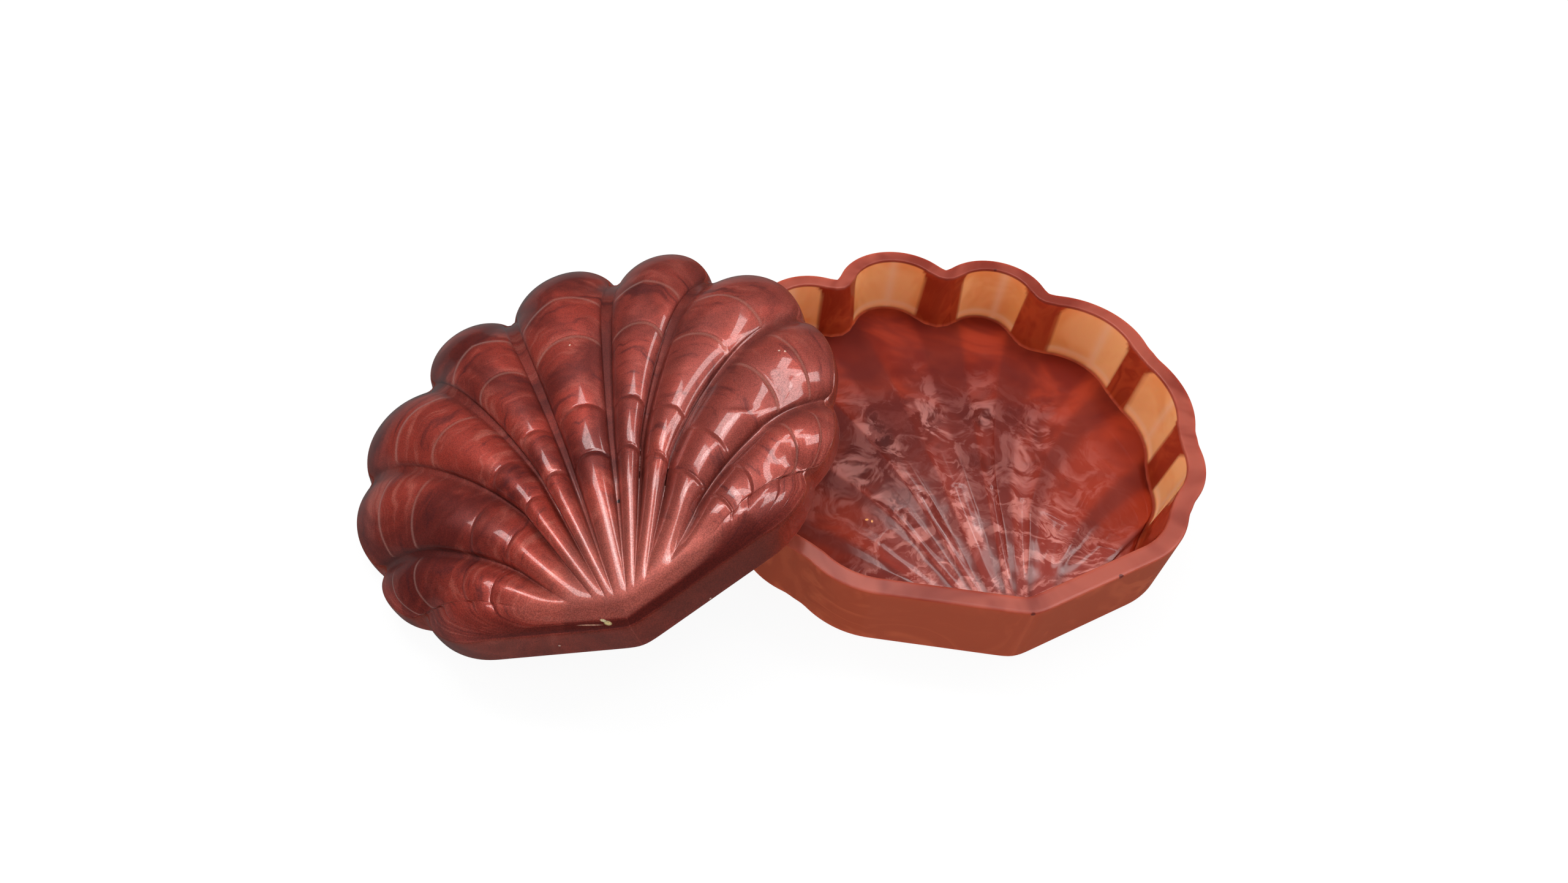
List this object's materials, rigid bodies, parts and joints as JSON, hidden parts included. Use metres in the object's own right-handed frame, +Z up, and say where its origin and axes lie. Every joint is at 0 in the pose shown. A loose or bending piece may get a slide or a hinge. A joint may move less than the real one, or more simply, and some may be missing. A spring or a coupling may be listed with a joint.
{
  "type": "shell box",
  "caption": "Scallop-shell trinket box in pearlescent cast resin: an open tray with a carved floor, and a loose domed lid leaning on its rim",
  "frame": {"origin": "on the table, under the middle of the whole outline of tray and leaning lid", "axes": "+Z up; +X from the lid to the tray; +Y away from the viewer, from the shells' pointed corners to their lobes"},
  "size_m": [0.195, 0.117, 0.0359],
  "materials": {
    "tray_resin": "translucent amber-red pearl resin, glossy inside, satin rim",
    "lid_resin": "copper-red pearl resin with darker swirls, high gloss"
  },
  "bodies": {
    "root": {"tray": "tray_resin", "lid": "lid_resin"}
  },
  "joints": []
}
